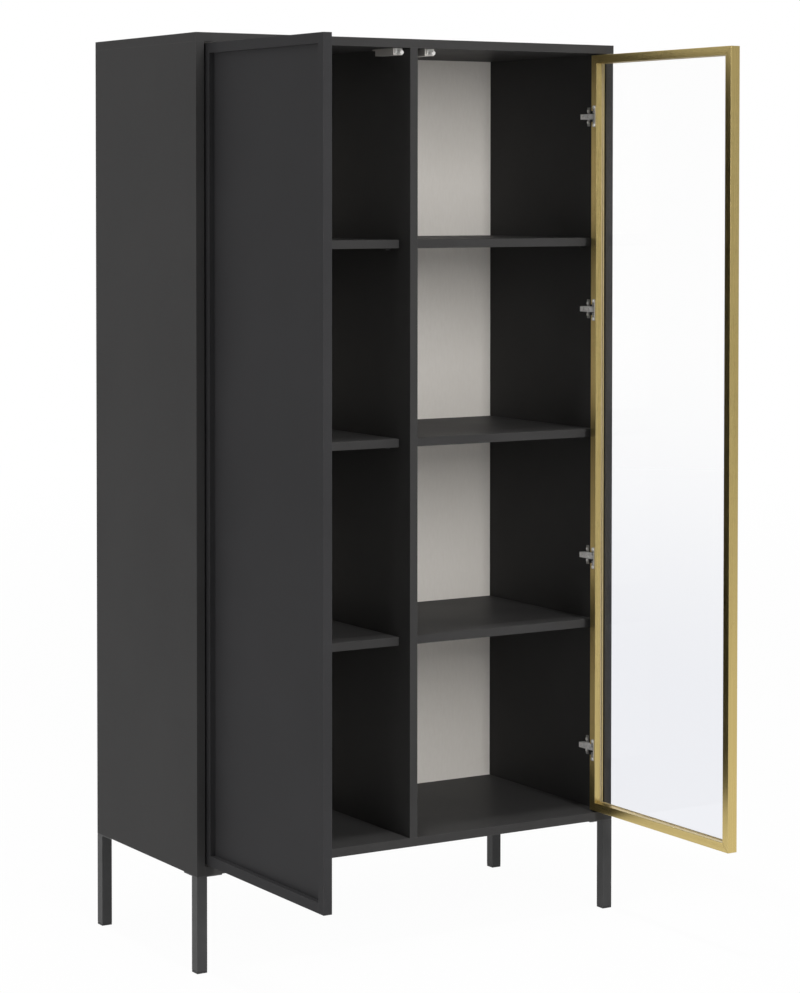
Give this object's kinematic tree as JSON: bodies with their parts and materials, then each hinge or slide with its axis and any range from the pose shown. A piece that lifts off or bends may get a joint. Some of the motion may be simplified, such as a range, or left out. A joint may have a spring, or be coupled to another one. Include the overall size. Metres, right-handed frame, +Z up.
{
  "type": "bookcase",
  "caption": "Tall two-bay bookcase on tube legs, with a solid recessed-panel door on the left, a gold-framed glass door on the right, inset hinges, shelves and push latches.",
  "frame": {"origin": "on the floor, at the middle of the width, in the plane of the boards' front edges", "axes": "+X to the right as seen from the front, +Y to the back, +Z up"},
  "size_m": [0.9, 0.8058, 1.655],
  "materials": {
    "board": "charcoal matt melamine on particle board",
    "door_board": "charcoal matt melamine on fibreboard",
    "back_board": "pale beige laminate on hardboard",
    "leg_metal": "charcoal powder coat, fine matt",
    "foot_plastic": "black moulded plastic",
    "gold_aluminium": "brushed gold anodised",
    "glass": "clear float glass",
    "gasket_rubber": "pale translucent silicone seal",
    "hinge_steel": "nickel plated",
    "screw_steel": "zinc plated",
    "leg_plate_steel": "charcoal powder coat",
    "dowel_wood": "beech, bare",
    "latch_grey": "grey moulded plastic",
    "latch_white": "white moulded plastic",
    "bracket_aluminium": "bare aluminium"
  },
  "bodies": {
    "cabinet": {"back_panel_nails": "screw_steel", "bottom_joint_dowels": "dowel_wood", "bottom_panel": "board", "centre_partition": "board", "front_left_leg": "leg_metal", "front_right_leg": "leg_metal", "latch_clips": "latch_white", "latch_screws": "screw_steel", "left_back_panel": "back_board", "left_hinge_arm_screws": "screw_steel", "left_hinge_arms": "hinge_steel", "left_hinge_mounting_plates": "hinge_steel", "left_hinge_plate_screws": "screw_steel", "left_latch_housing": "latch_grey", "left_lower_shelf": "board", "left_middle_shelf": "board", "left_shelf_pins": "screw_steel", "left_side_panel": "board", "left_upper_shelf": "board", "leg_foot_caps": "foot_plastic", "leg_plates": "leg_plate_steel", "leg_screws": "screw_steel", "rear_left_leg": "leg_metal", "rear_right_leg": "leg_metal", "right_back_panel": "back_board", "right_hinge_arm_screws": "screw_steel", "right_hinge_arms": "hinge_steel", "right_hinge_mounting_plates": "hinge_steel", "right_hinge_plate_screws": "screw_steel", "right_latch_housing": "latch_grey", "right_lower_shelf": "board", "right_middle_shelf": "board", "right_shelf_pins": "screw_steel", "right_side_panel": "board", "right_upper_shelf": "board", "top_joint_dowels": "dowel_wood", "top_panel": "board"},
    "left_door": {"left_door_bottom_rail": "door_board", "left_door_dowels": "dowel_wood", "left_door_free_stile": "door_board", "left_door_hinge_stile": "door_board", "left_door_panel": "door_board", "left_door_top_rail": "door_board", "left_hinge_bracket_screws": "screw_steel", "left_hinge_brackets": "hinge_steel", "left_hinge_pins": "hinge_steel"},
    "right_door": {"right_door_bottom_rail": "gold_aluminium", "right_door_corner_brackets": "bracket_aluminium", "right_door_free_stile": "gold_aluminium", "right_door_gasket": "gasket_rubber", "right_door_glass": "glass", "right_door_hinge_stile": "gold_aluminium", "right_door_top_rail": "gold_aluminium", "right_hinge_bracket_screws": "screw_steel", "right_hinge_brackets": "hinge_steel", "right_hinge_pins": "hinge_steel"},
    "left_plunger": {"left_latch_plunger": "latch_white"},
    "right_plunger": {"right_latch_plunger": "latch_white"}
  },
  "joints": [
    {"name": "left_door_swing", "type": "hinge", "parent": "cabinet", "child": "left_door", "pos_m": [-0.42375, 0.00825, 0.9135], "axis": [0, 0, 1], "range_deg": [-10, 90]},
    {"name": "right_door_swing", "type": "hinge", "parent": "cabinet", "child": "right_door", "pos_m": [0.42375, 0.00825, 0.9135], "axis": [0, 0, 1], "range_deg": [-90, 10]},
    {"name": "left_plunger_slide", "type": "slide", "parent": "cabinet", "child": "left_plunger", "axis": [0, 1, 0], "range_m": [-0.001, 0.008]},
    {"name": "right_plunger_slide", "type": "slide", "parent": "cabinet", "child": "right_plunger", "axis": [0, 1, 0], "range_m": [-0.0015, 0.012]}
  ],
  "couplings": [
    {"joint": "left_plunger_slide", "follows": "left_door_swing", "m_per_rad": 0.0049656},
    {"joint": "right_plunger_slide", "follows": "right_door_swing", "m_per_rad": -0.0075121}
  ]
}
